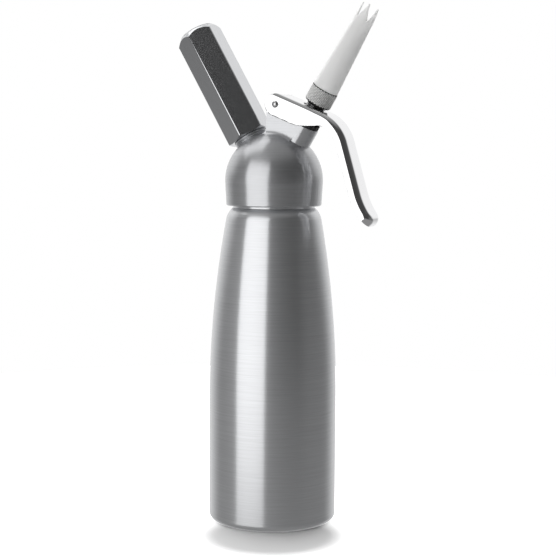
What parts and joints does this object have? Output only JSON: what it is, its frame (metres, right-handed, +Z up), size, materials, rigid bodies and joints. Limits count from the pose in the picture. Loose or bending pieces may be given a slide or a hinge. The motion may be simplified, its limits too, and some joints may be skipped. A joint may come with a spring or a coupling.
{
  "type": "whipped cream dispenser",
  "caption": "Free-standing pressure bottle with a screwed domed head, a sprung valve worked by a bent lever, a hexagonal gas charger holder and a toothed nozzle.",
  "frame": {"origin": "centre of the bottle's base, on the surface it stands on", "axes": "+Z up along the bottle, +X towards the lever and the nozzle, +Y across, along the lever pin"},
  "size_m": [0.135, 0.08, 0.3218],
  "materials": {
    "brushed_aluminium": "brushed round the axis",
    "milled_aluminium": "fine brushed flats",
    "polished_steel": "polished",
    "turned_steel": "turned",
    "knurled_steel": "diamond knurled",
    "spring_wire": "drawn wire",
    "charger_steel": "plated",
    "seal_rubber": "moulded",
    "white_plastic": "moulded",
    "black_plastic": "moulded",
    "frosted_plastic": "frosted"
  },
  "bodies": {
    "bottle": {"bottle": "brushed_aluminium"},
    "seal": {"head_seal": "seal_rubber"},
    "head": {"head_casting": "brushed_aluminium", "check_valve_sleeve": "seal_rubber", "piercing_pin": "turned_steel", "charger_gasket": "seal_rubber", "stem_bush": "white_plastic", "valve_spring": "spring_wire", "spring_screw": "black_plastic", "lever_pin": "turned_steel", "lever_pin_screw": "turned_steel"},
    "lever": {"lever": "polished_steel"},
    "valve": {"valve_stem": "turned_steel", "valve_disc": "seal_rubber", "disc_washer": "turned_steel", "disc_nut": "turned_steel", "stem_o_ring": "seal_rubber", "spring_seat": "turned_steel", "stem_head": "turned_steel"},
    "nozzle_washer": {"nozzle_seal": "seal_rubber"},
    "nozzle": {"nozzle_collar": "knurled_steel", "tulip_nozzle": "frosted_plastic"},
    "charger": {"gas_charger": "charger_steel"},
    "holder": {"charger_holder": "milled_aluminium"}
  },
  "joints": [
    {"name": "head_lift", "type": "slide", "parent": "bottle", "child": "seal", "axis": [0, 0, 1], "range_m": [0, 0.05]},
    {"name": "head_turn", "type": "hinge", "parent": "seal", "child": "head", "pos_m": [0, 0, 0.2133], "axis": [0, 0, 1], "continuous": true},
    {"name": "lever_press", "type": "hinge", "parent": "head", "child": "lever", "pos_m": [0.0056, 0, 0.2609], "axis": [0, 1, 0], "range_deg": [0, 8], "stiffness_Nm_per_rad": 4, "springref_deg": -2.86},
    {"name": "valve_travel", "type": "slide", "parent": "head", "child": "valve", "axis": [-0.5165, 0, -0.8563], "range_m": [0, 0.00168], "deforming": ["valve_spring"]},
    {"name": "nozzle_lift", "type": "slide", "parent": "valve", "child": "nozzle_washer", "axis": [0.5165, 0, 0.8563], "range_m": [0, 0.03]},
    {"name": "nozzle_turn", "type": "hinge", "parent": "nozzle_washer", "child": "nozzle", "pos_m": [0.03099, 0, 0.26468], "axis": [0.5165, 0, 0.8563], "continuous": true},
    {"name": "charger_draw", "type": "slide", "parent": "head", "child": "charger", "axis": [-0.5075, 0, 0.8616], "range_m": [0, 0.09]},
    {"name": "holder_turn", "type": "hinge", "parent": "charger", "child": "holder", "pos_m": [-0.03553, 0, 0.27361], "axis": [-0.5075, 0, 0.8616], "continuous": true}
  ],
  "couplings": [
    {"joint": "valve_travel", "follows": "lever_press", "m_per_rad": 0.012}
  ]
}
